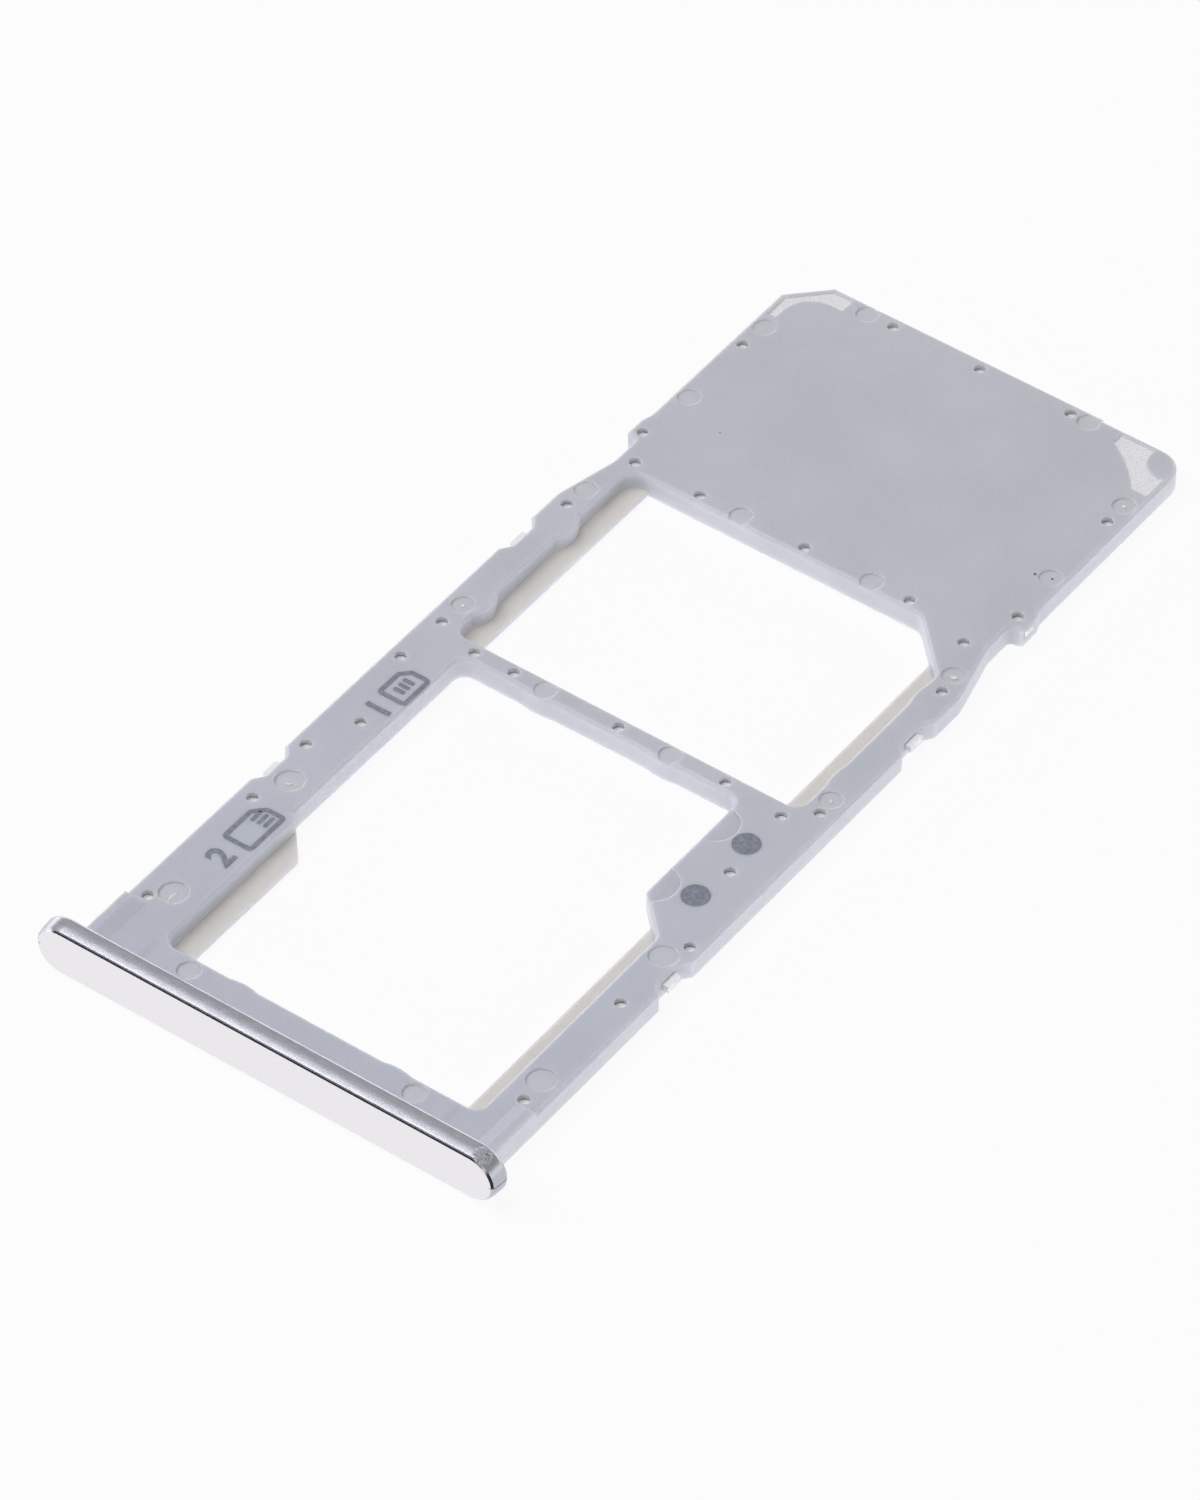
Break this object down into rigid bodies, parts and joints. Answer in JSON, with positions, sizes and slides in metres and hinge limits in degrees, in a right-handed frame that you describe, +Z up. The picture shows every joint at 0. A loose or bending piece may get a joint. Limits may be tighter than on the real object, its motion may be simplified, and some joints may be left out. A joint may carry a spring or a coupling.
{
  "type": "sim card tray",
  "caption": "Flat pull-out card tray for a phone: a plastic frame with ledged card windows, moulded around a thin steel insert and the arms of a round-ended metal bar that closes the slot.",
  "frame": {"origin": "centre of the tray's footprint, on the flat underside", "axes": "+X across the tray, towards the rail with the guide block; +Y from the face bar towards the rear plate, the way the tray is pushed in; +Z up, the way the card pockets open"},
  "size_m": [0.0172, 0.0382, 0.0019],
  "materials": {
    "carrier": "fine satin, pale cool grey",
    "steel_insert": "as rolled and stamped",
    "face_bar": "fine blasted front, satin sides, bright cut bevel"
  },
  "bodies": {
    "root": {"carrier": "carrier", "steel_insert": "steel_insert", "face_bar": "face_bar"}
  },
  "joints": []
}
